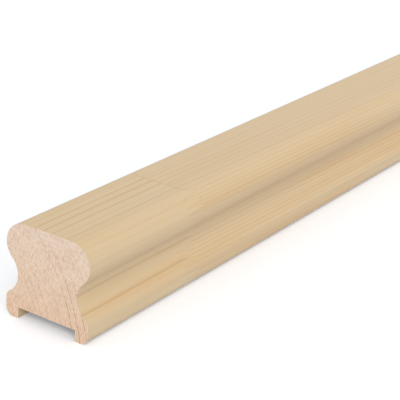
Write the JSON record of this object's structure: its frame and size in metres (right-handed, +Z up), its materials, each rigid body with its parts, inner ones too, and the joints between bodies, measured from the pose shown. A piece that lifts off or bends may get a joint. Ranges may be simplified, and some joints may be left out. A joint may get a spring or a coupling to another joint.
{
  "type": "stair handrail",
  "caption": "Moulded softwood stair handrail with a flat-topped round head, side coves for the fingers and a groove underneath for spindles, made of finger-jointed staves.",
  "frame": {"origin": "middle of the rail's length and width, on the level of the lips of its groove, which rest on the floor", "axes": "+X along the rail from its near sawn end, +Y to the left as seen along +X, +Z up to the flat top"},
  "size_m": [2.4, 0.059, 0.059],
  "materials": {
    "pine": "planed and sanded, unfinished"
  },
  "bodies": {
    "root": {"stave_1": "pine", "stave_2": "pine", "stave_3": "pine", "stave_4": "pine", "stave_5": "pine", "stave_6": "pine"}
  },
  "joints": []
}
